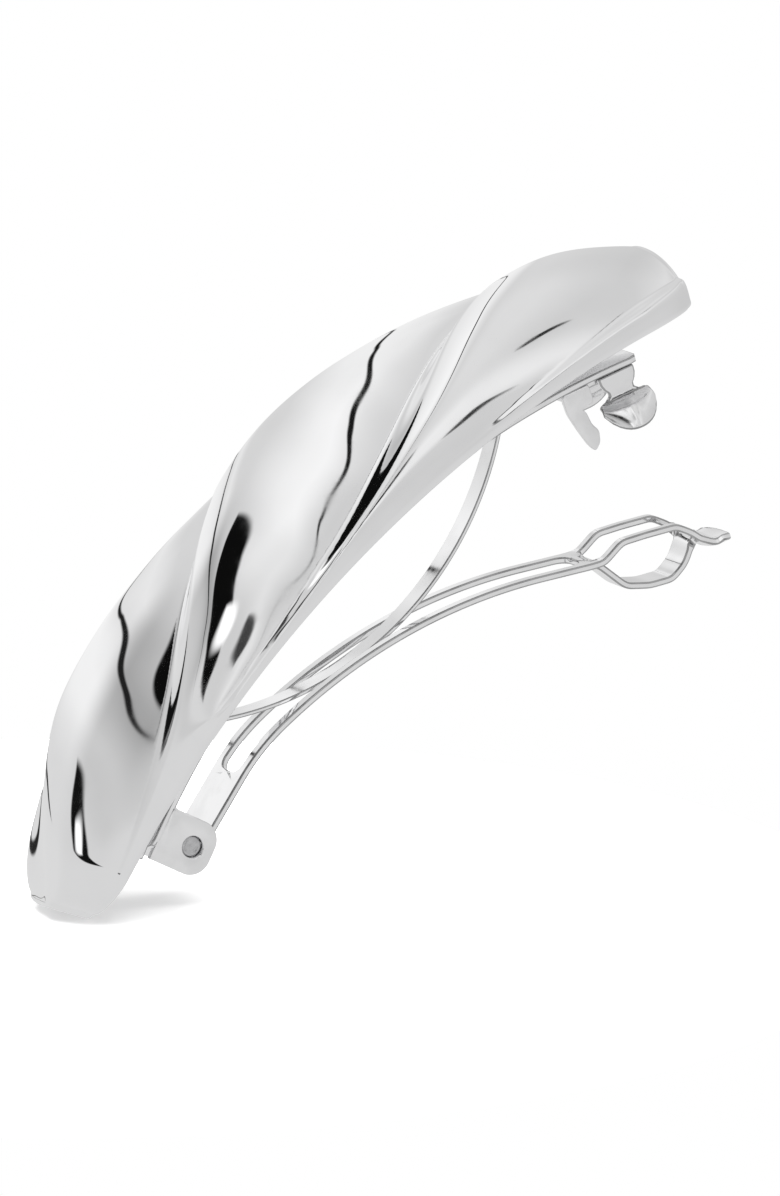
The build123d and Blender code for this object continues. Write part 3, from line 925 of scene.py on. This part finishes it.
def ear_plates():
    """Both ears, each with its hole for the pin."""
    low = -PIN_DROP - EAR_BELOW_PIN
    corner = EAR_CORNER
    outline = []
    for cx, turn in ((EAR_HALF - corner, -90.0), (-EAR_HALF + corner, 180.0)):
        for k in range(13):
            angle = math.radians(turn + 90.0 * k / 12)
            outline.append(Vector((cx + corner * math.cos(angle), low + corner + corner * math.sin(angle))))
    right, left = outline[:13], outline[13:]
    top = 0.35
    outline = left + right + [Vector((EAR_HALF, top)), Vector((-EAR_HALF, top))]
    hole = circle((0.0, -PIN_DROP), BORE_RADIUS, 48)
    at = at_plate(PIN_ANGLE)
    plates = []
    for place in (-1, 1):
        middle = place * (PLATE_HALF - EAR_THICKNESS / 2)
        plates.append(flat_plate(outline, [hole], EAR_THICKNESS, 0.2,
                                 lambda u, v, height, y=middle: at(u, y + height, v)))
    return plates


class BARRETTE_OT_base(bpy.types.Operator):
    """Build the arched base plate and its two hinge ears"""
    bl_idname = "barrette.base"
    bl_label = "Base Plate"

    def execute(self, context):
        plate = metal("clasp_nickel_plate")
        finish_piece(plate_sheet(plate), "cover", ["base_plate"])
        ears = plate_piece("hinge_ears", ear_plates(), plate)
        finish_piece(ears, "cover", [])
        return {"FINISHED"}


# ---- pin and rivets ---------------------------------------------------------------------------
PIN_RADIUS = 1.2
PIN_PROFILE = ((0.0, 4.32), (0.35, 4.36), (0.62, 4.3), (0.8, 4.42), (1.02, 4.5), (1.14, 4.42),
               (1.2, 4.25))


def lathe(name, profile, to_point, steps, material):
    """Turn a profile of (radius, height) steps, each end on the axis, into a closed piece."""
    mesh = bmesh.new()
    rings = []
    for radius, height in profile:
        if radius == 0.0:
            rings.append([mesh.verts.new(Vector(to_point(0.0, 0.0, height)) * MM)])
            continue
        rings.append([mesh.verts.new(Vector(to_point(
            radius * math.cos(2 * math.pi * k / steps),
            radius * math.sin(2 * math.pi * k / steps), height)) * MM) for k in range(steps)])
    for a, b in zip(rings, rings[1:]):
        for k in range(steps):
            corners = [a[k % len(a)], a[(k + 1) % len(a)], b[(k + 1) % len(b)], b[k % len(b)]]
            corners = list(dict.fromkeys(corners))
            mesh.faces.new(corners)
    bmesh.ops.recalc_face_normals(mesh, faces=mesh.faces)
    data = bpy.data.meshes.new(name)
    mesh.to_mesh(data)
    mesh.free()
    return smooth_piece(name, data, material)


class BARRETTE_OT_pin(bpy.types.Operator):
    """Build the hinge pin with its peened ends"""
    bl_idname = "barrette.pin"
    bl_label = "Hinge Pin"

    def execute(self, context):
        profile = list(PIN_PROFILE)
        profile += [(PIN_RADIUS, 1.5), (PIN_RADIUS, -1.5)]
        profile += [(radius, -height) for radius, height in reversed(PIN_PROFILE)]
        pin = lathe("hinge_pin_peened", profile,
                    lambda a, b, height: (PIN_X + a, height, PIN_Z + b), 48, metal("peened_pin_steel"))
        finish_piece(pin, "cover", ["hinge_pin"])
        return {"FINISHED"}


# ---- catch ------------------------------------------------------------------------------------
CATCH_ANGLE = math.radians(21.5)
CATCH_THICKNESS = 0.7
CATCH_INNER = 4.15
HOOK_START, HOOK_END = -5.5, -1.9
TAB_FROM, TAB_TO = -1.0, 4.2
TAB_FOLD = -3.5
FLARE = math.radians(38.0)
PADDLE_HALF = 3.3
PADDLE_DEPTH = 4.3
HOOK_LEG = [(-5.5, -0.05), (-5.5, -2.4), (-4.8, -5.0), (-4.2, -6.8), (-3.6, -7.8), (-2.7, -7.0),
            (-2.4, -5.6), (-3.0, -4.6), (-3.2, -3.0), (-3.6, -2.5), (-1.9, -2.3), (-1.9, -0.05)]


def catch_plates():
    at = at_plate(CATCH_ANGLE)
    outer = CATCH_INNER + CATCH_THICKNESS
    leg = rounded(HOOK_LEG, 0.45)
    middle = -CATCH_INNER - CATCH_THICKNESS / 2
    plates = [flat_plate(leg, [], CATCH_THICKNESS, 0.16,
                         lambda u, v, height: at(u, middle + height, v))]
    strip = rounded([(HOOK_START, -outer + 0.1), (HOOK_END, -outer + 0.1), (HOOK_END, -4.0),
                     (TAB_TO, -4.0), (TAB_TO, 4.0), (HOOK_END, 4.0), (HOOK_END, outer - 0.1),
                     (HOOK_START, outer - 0.1)], 0.4)
    plates.append(flat_plate(strip, [], CATCH_THICKNESS - 0.02, 0.14,
                             lambda u, v, height: at(u, v, height - 0.36 - u * u / 200.0)))
    return plates


def tab_rows(sign):
    """The tab's sheet from its root over the fold to the paddle's tip."""
    at = at_plate(CATCH_ANGLE)
    middle_y = CATCH_INNER + CATCH_THICKNESS / 2
    middle = (TAB_FROM + TAB_TO) / 2 + 0.2
    steps = [-0.1, -0.5, -1.0, -1.6, -2.1, -2.6, -3.0, -3.3]
    rows = []
    count = 14
    for v in steps:
        half = (TAB_TO - TAB_FROM) / 2 - 0.25
        waist = math.exp(-((v + 2.4) / 0.8) ** 2)
        half -= 0.75 * waist
        lip = max(0.0, (-2.6 - v) / 0.7)
        half += (PADDLE_HALF - half) * lip ** 2 * 0.55
        rows.append([(middle + half * (2 * k / count - 1), middle_y, v) for k in range(count + 1)])
    for i in range(1, 13):
        share = i / 12
        row = []
        for k in range(count + 1):
            a = 2 * k / count - 1
            reach = PADDLE_DEPTH * share * math.sqrt(1.0 - (abs(a) / 1.04) ** 2.2)
            swell = math.sin(math.pi * min(1.0, 0.08 + 0.86 * share))
            dome = 0.8 * (1 - 0.75 * abs(a) ** 2) * swell
            dome += 0.16 * math.exp(-(a / 0.1) ** 2) * swell
            row.append((middle + PADDLE_HALF * a,
                        middle_y + reach * math.sin(FLARE) + dome * math.cos(FLARE),
                        TAB_FOLD + 0.1 - reach * math.cos(FLARE) + dome * math.sin(FLARE)))
        rows.append(row)
    return [[at(u, sign * y, v) for u, y, v in row] for row in rows]


class BARRETTE_OT_catch(bpy.types.Operator):
    """Build the catch: its bracket with a hook leg, and the two sprung thumb tabs"""
    bl_idname = "barrette.catch"
    bl_label = "Catch"

    def execute(self, context):
        plate = metal("stamped_nickel_plate")
        bracket = plate_piece("catch_bracket_leg", catch_plates(), plate)
        finish_piece(bracket, "cover", ["catch_bracket"])
        for side, sign in (("near", -1), ("far", 1)):
            rows = tab_rows(sign)
            if sign > 0:
                rows = [row[::-1] for row in rows]
            tab = sheet(f"thumb_tab_{side}_button", rows, lambda i, j: True, CATCH_THICKNESS - 0.1,
                        0.2, plate)
            finish_piece(tab, f"tab_{side}", [f"thumb_tab_{side}"])
        return {"FINISHED"}


RIVET_INPUTS = ("head_radius", "head_height", "shank_radius", "shank_length", "centre_distance",
                "place_angle")


# mesh steps along and round a rivet, and the shares of its profile where the head, the step in
# and the shank end
RIVET_STEPS = (61, 49)
HEAD_SHARE, STEP_SHARE, SHANK_SHARE = 0.45, 0.55, 0.85


def rivet_tree():
    """Geometry nodes that turn one domed rivet and set a pair of them along the plate's arch."""
    inputs = [(name, "NodeSocketFloat", 0.0) for name in RIVET_INPUTS]
    inputs.append(("Finish", "NodeSocketMaterial", None))
    tree = new_tree("rivet_pair", "GeometryNodeTree", inputs, [("Geometry", "NodeSocketGeometry")])
    f = Formula(tree, "geometry")
    sockets = f.node("NodeGroupInput").outputs
    grid = f.fill("GeometryNodeMeshGrid", {"Vertices X": RIVET_STEPS[0], "Vertices Y": RIVET_STEPS[1]})
    flat = f.fill("ShaderNodeSeparateXYZ", {0: f.node("GeometryNodeInputPosition").outputs[0]})
    share = f.add(flat.outputs["X"], 0.5)
    turn = f.mul(2.0 * math.pi, flat.outputs["Y"])
    dome = f.mul(f.ramp(share, 0.0, HEAD_SHARE), math.pi / 2)
    under = f.ramp(share, HEAD_SHARE, STEP_SHARE)
    shank = f.ramp(share, STEP_SHARE, SHANK_SHARE)
    tip = f.mul(f.ramp(share, SHANK_SHARE, 1.0), math.pi / 2)
    radius = f.mul(sockets["head_radius"], f.power(f.math("SINE", dome), 0.7))
    radius = f.mix(under, radius, sockets["shank_radius"])
    radius = f.mul(radius, f.math("MAXIMUM", f.math("COSINE", tip), 0.0))
    height = f.mul(-1.0, sockets["head_height"], f.power(f.math("COSINE", dome), 0.6))
    height = f.add(height, f.mul(sockets["shank_length"], shank),
                   f.mul(0.2, sockets["shank_radius"], f.math("SINE", tip)))
    point = f.fill("ShaderNodeCombineXYZ", {
        "X": f.mul(radius, f.math("COSINE", turn)), "Y": f.mul(radius, f.math("SINE", turn)),
        "Z": f.add(height, sockets["centre_distance"])})
    turned = f.fill("GeometryNodeSetPosition", {
        "Geometry": grid.outputs["Mesh"], "Position": point.outputs[0]})
    outward = f.fill("GeometryNodeFlipFaces", {0: turned.outputs[0]})
    closed = f.fill("GeometryNodeMergeByDistance", {
        "Geometry": outward.outputs[0], "Distance": MERGE_DISTANCE})
    pair = f.fill("GeometryNodeMeshLine", {"Count": 2, "Offset": (0.0, 0.0, 0.0)})
    lean = f.node("ShaderNodeCombineXYZ")
    index = f.node("GeometryNodeInputIndex").outputs[0]
    f.put(lean.inputs["Y"], f.mul(sockets["place_angle"], f.math("MULTIPLY_ADD", index, 2.0, -1.0)))
    placed = f.fill("GeometryNodeInstanceOnPoints", {
        "Points": pair.outputs[0], "Instance": closed.outputs[0], "Rotation": lean.outputs[0]})
    down = f.fill("ShaderNodeCombineXYZ", {"Z": f.mul(-1.0, sockets["centre_distance"])})
    moved = f.fill("GeometryNodeTransform", {
        "Geometry": placed.outputs[0], "Translation": down.outputs[0]})
    end_tree(f, moved.outputs[0], sockets["Finish"])
    return tree


class BARRETTE_OT_rivets(bpy.types.Operator):
    """Build the two fixing rivets and finish the cross bars they hold"""
    bl_idname = "barrette.rivets"
    bl_label = "Rivets and Bars"

    def execute(self, context):
        sizes = context.scene.barrette_rivets
        values = {name: getattr(sizes, name) for name in RIVET_INPUTS}
        values["Finish"] = metal("peened_pin_steel")
        rivets = apply_tree(rivet_tree(), "domed_rivets", values)
        finish_piece(rivets, "cover", ["fixing_rivets"])
        for name in ("bridge_hinge_end", "bridge_catch_end"):
            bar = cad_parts[name]
            bar.data.materials.clear()
            bar.data.materials.append(metal("dull_bar_metal"))
        return {"FINISHED"}


# ---- stage ------------------------------------------------------------------------------------
VIEW_RIGHT = Vector((0.680, -0.417, -0.603))
VIEW_UP = Vector((0.710, 0.164, 0.685))
AIM_RIGHT = 6.86
AIM_UP = -4.82


# brightness round the fan at three distances from its pole: fan angle, near, middle, far
SHADES = ((-180, 0.70, 0.70, 0.73), (-60, 0.70, 0.70, 0.70), (30, 0.66, 0.62, 0.62),
          (60, 0.64, 0.64, 0.64), (80, 0.66, 0.68, 0.68), (88, 0.86, 0.78, 0.70),
          (98, 0.88, 0.64, 0.61), (105, 0.74, 0.75, 0.67), (110, 0.70, 0.75, 0.70),
          (114, 0.64, 0.69, 0.69), (118, 0.70, 0.80, 0.84), (122, 0.82, 0.97, 0.90),
          (126, 0.73, 0.92, 0.90), (130, 0.66, 0.81, 0.80), (134, 0.64, 0.70, 0.69),
          (138, 0.66, 0.62, 0.70), (142, 0.70, 0.47, 0.84), (146, 0.70, 0.37, 0.76),
          (150, 0.62, 0.52, 0.93), (154, 0.62, 0.62, 0.92), (158, 0.70, 0.60, 0.80),
          (162, 0.70, 0.68, 0.73), (180, 0.70, 0.70, 0.73))
# gaps and glints in the fan: angle, lean, half spread, middle, half reach, softness, shade
GAPS = ((120.0, 7.0, 0.26, 0.75, 0.62, 1.2, 0.01), (137.5, -5.0, 5.2, 0.43, 0.34, 0.2, 0.004),
        (146.5, 0.0, 0.3, 0.90, 0.50, 1.6, 0.015), (165.5, -20.0, 3.4, 0.63, 0.30, 0.35, 0.006),
        (171.0, 0.0, 0.5, 1.35, 0.10, 1.0, 0.02), (104.0, 0.0, 3.0, 0.10, 0.05, 1.0, 0.02),
        (127.0, 0.0, 2.5, 0.11, 0.04, 1.0, 0.05), (136.0, 0.0, 1.4, 0.24, 0.04, 3.0, 1.3),
        (164.0, -18.0, 0.8, 0.70, 0.05, 3.5, 1.3))
# single spots: place across and up, half sizes, shade
SPOTS = ((0.365, -0.011, 0.005, 0.024, 0.02), (0.292, 0.255, 0.005, 0.05, 0.03))
FAN_POLE = (0.35, -0.15)
# distances from the pole between which one band of SHADES blends into the next
NEAR_BLEND, FAR_BLEND = (0.18, 0.42), (0.82, 1.12)


def softbox_world(world, right, up, back):
    """Light the surroundings as a fan of softboxes with dark gaps, laid out round one side."""
    world.use_nodes = True
    tree = world.node_tree
    f = Formula(tree, "world")
    way = f.node("ShaderNodeTexCoord").outputs["Generated"]
    middle = f.fill("ShaderNodeVectorMath", {0: way}, operation="ADD")
    middle.inputs[1].default_value = back
    half = f.fill("ShaderNodeVectorMath", {0: middle.outputs[0]}, operation="NORMALIZE")

    def along(axis):
        dot = f.fill("ShaderNodeVectorMath", {0: half.outputs[0]}, operation="DOT_PRODUCT")
        dot.inputs[1].default_value = axis
        return dot.outputs["Value"]

    across, rise = along(right), along(up)
    dx, dy = f.sub(across, FAN_POLE[0]), f.sub(rise, FAN_POLE[1])
    distance = f.math("SQRT", f.add(f.mul(dx, dx), f.mul(dy, dy)))
    fan = f.mul(180.0 / math.pi, f.math("ARCTAN2", dy, dx))
    bands = []
    for band in (1, 2, 3):
        ramp = f.fill("ShaderNodeValToRGB", {0: f.div(f.add(fan, 180.0), 360.0)})
        stops = ramp.color_ramp.elements
        while len(stops) < len(SHADES):
            stops.new(0.5)
        for stop, row in zip(stops, SHADES):
            stop.position = (row[0] + 180.0) / 360.0
            stop.color = (row[band], row[band], row[band], 1.0)
        bands.append(f.math("MULTIPLY", ramp.outputs["Color"], 1.0))
    light = f.mix(f.smooth(f.ramp(distance, *NEAR_BLEND)), bands[0], bands[1])
    light = f.mix(f.smooth(f.ramp(distance, *FAR_BLEND)), light, bands[2])

    def lay(light, share, shade):
        return f.mix(share, light, shade)

    for angle, lean, spread, middle_at, reach, softness, shade in GAPS:
        off = f.sub(distance, middle_at)
        aside = f.div(f.math("ABSOLUTE", f.sub(f.sub(fan, angle), f.mul(lean, off))), spread)
        beside = f.div(off, reach)
        edge = f.add(aside, f.mul(beside, beside))
        light = lay(light, f.sub(1.0, f.smooth(f.ramp(edge, 1.0, 1.0 + softness))), shade)
    for x, y, wide, tall, shade in SPOTS:
        a, b = f.div(f.sub(across, x), wide), f.div(f.sub(rise, y), tall)
        edge = f.add(f.mul(a, a), f.mul(b, b))
        light = lay(light, f.sub(1.0, f.smooth(f.ramp(edge, 0.6, 1.4))), shade)
    seen = f.node("ShaderNodeLightPath").outputs["Is Camera Ray"]
    tree.links.new(f.mix(seen, light, 1.0), tree.nodes["Background"].inputs["Strength"])


FLOOR_TILT = 12.0
FLOOR_TOUCH = (-49.6, -4.0, -7.3)
FLOOR_RINGS, FLOOR_SPOKES = 6, 48
FLOOR_GLOW = 0.3
LAMP_SPREAD = math.radians(70.0)


def lay_floor(touch, normal, half, colour_of):
    """A round pale floor that the cover's tip rests on, seen from above only."""
    side = normal.orthogonal().normalized()
    ahead = normal.cross(side)
    points, faces = [touch], []
    for ring in range(1, FLOOR_RINGS + 1):
        for k in range(FLOOR_SPOKES):
            angle = 2 * math.pi * k / FLOOR_SPOKES
            spoke = side * math.cos(angle) + ahead * math.sin(angle)
            points.append(touch + spoke * half * ring / FLOOR_RINGS)
    for k in range(FLOOR_SPOKES):
        faces.append((0, 1 + k, 1 + (k + 1) % FLOOR_SPOKES))
        for ring in range(1, FLOOR_RINGS):
            a, b = 1 + (ring - 1) * FLOOR_SPOKES + k, 1 + (ring - 1) * FLOOR_SPOKES + (k + 1) % FLOOR_SPOKES
            faces.append((a, a + FLOOR_SPOKES, b + FLOOR_SPOKES, b))
    mesh = bpy.data.meshes.new("pale_floor")
    mesh.from_pydata(points, [], faces)
    floor = bpy.data.objects.new("pale_floor", mesh)
    bpy.context.scene.collection.objects.link(floor)
    material = bpy.data.materials.new("pale_floor")
    material.use_nodes = True
    tree = material.node_tree
    f = Formula(tree, "shader")
    shader = tree.nodes["Principled BSDF"]
    shader.inputs["Base Color"].default_value = (*colour_of, 1.0)
    shader.inputs["Roughness"].default_value = 0.6
    shader.inputs["Emission Color"].default_value = (1.0, 1.0, 1.0, 1.0)
    shader.inputs["Emission Strength"].default_value = FLOOR_GLOW
    shader.inputs["Specular IOR Level"].default_value = 0.1
    clear = f.node("ShaderNodeBsdfTransparent")
    blend = f.fill("ShaderNodeMixShader", {0: f.node("ShaderNodeNewGeometry").outputs["Backfacing"]})
    tree.links.new(shader.outputs[0], blend.inputs[1])
    tree.links.new(clear.outputs[0], blend.inputs[2])
    tree.links.new(blend.outputs[0], tree.nodes["Material Output"].inputs["Surface"])
    mesh.materials.append(material)
    floor.visible_glossy = False


class BARRETTE_OT_stage(bpy.types.Operator):
    """Set up the camera, the light and the floor"""
    bl_idname = "barrette.stage"
    bl_label = "Stage"

    def execute(self, context):
        sizes = context.scene.barrette_stage
        right = VIEW_RIGHT.normalized()
        up = (VIEW_UP - right * VIEW_UP.dot(right)).normalized()
        back = right.cross(up)
        data = bpy.data.cameras.new("camera")
        data.sensor_width = 36.0
        data.lens = data.sensor_width * sizes.distance / sizes.picture_height
        data.clip_start = 0.01
        camera = bpy.data.objects.new("camera", data)
        context.scene.collection.objects.link(camera)
        aim = (right * AIM_RIGHT + up * AIM_UP) * MM
        turn = Matrix((right, up, back)).transposed().to_4x4()
        camera.matrix_world = Matrix.Translation(aim + back * sizes.distance) @ turn
        context.scene.camera = camera
        context.scene.view_settings.view_transform = "Standard"
        lift = math.radians(FLOOR_TILT)
        normal = (up * math.cos(lift) + back * math.sin(lift)).normalized()
        lay_floor(Vector(FLOOR_TOUCH) * MM, normal, sizes.floor_size, sizes.floor_colour)
        lamp_data = bpy.data.lights.new("floor_lamp", "SUN")
        lamp_data.energy = sizes.lamp_strength
        lamp_data.angle = LAMP_SPREAD
        lamp = bpy.data.objects.new("floor_lamp", lamp_data)
        lamp.rotation_mode = "QUATERNION"
        lamp.rotation_quaternion = normal.to_track_quat("Z", "Y")
        lamp.visible_glossy = False
        context.scene.collection.objects.link(lamp)
        world = bpy.data.worlds.new("studio")
        context.scene.world = world
        world.use_nodes = True
        world.node_tree.nodes["Background"].inputs["Color"].default_value = (1, 1, 1, 1)
        softbox_world(world, right, up, back)
        return {"FINISHED"}


class BARRETTE_PT_panel(bpy.types.Panel):
    """Lists the steps that build the barrette"""
    bl_idname = "BARRETTE_PT_panel"
    bl_label = "Barrette"
    bl_space_type = "VIEW_3D"
    bl_region_type = "UI"
    bl_category = "Barrette"

    def draw(self, context):
        for operator in OPERATORS:
            self.layout.operator(operator.bl_idname)


OPERATORS = (BARRETTE_OT_stage, BARRETTE_OT_cover, BARRETTE_OT_base, BARRETTE_OT_pin,
             BARRETTE_OT_arm, BARRETTE_OT_bow, BARRETTE_OT_catch, BARRETTE_OT_rivets)
CLASSES = (CoverSizes, RivetSizes, FinishSettings, StageSizes, *OPERATORS, BARRETTE_PT_panel)


def register():
    for cls in CLASSES:
        bpy.utils.register_class(cls)
    bpy.types.Scene.barrette_cover = PointerProperty(type=CoverSizes)
    bpy.types.Scene.barrette_rivets = PointerProperty(type=RivetSizes)
    bpy.types.Scene.barrette_finish = PointerProperty(type=FinishSettings)
    bpy.types.Scene.barrette_stage = PointerProperty(type=StageSizes)


def unregister():
    del bpy.types.Scene.barrette_stage
    del bpy.types.Scene.barrette_finish
    del bpy.types.Scene.barrette_rivets
    del bpy.types.Scene.barrette_cover
    for cls in reversed(CLASSES):
        bpy.utils.unregister_class(cls)


def main():
    register()
    for operator in OPERATORS:
        getattr(bpy.ops.barrette, operator.bl_idname.split(".")[1])()


if __name__ == "__main__":
    main()
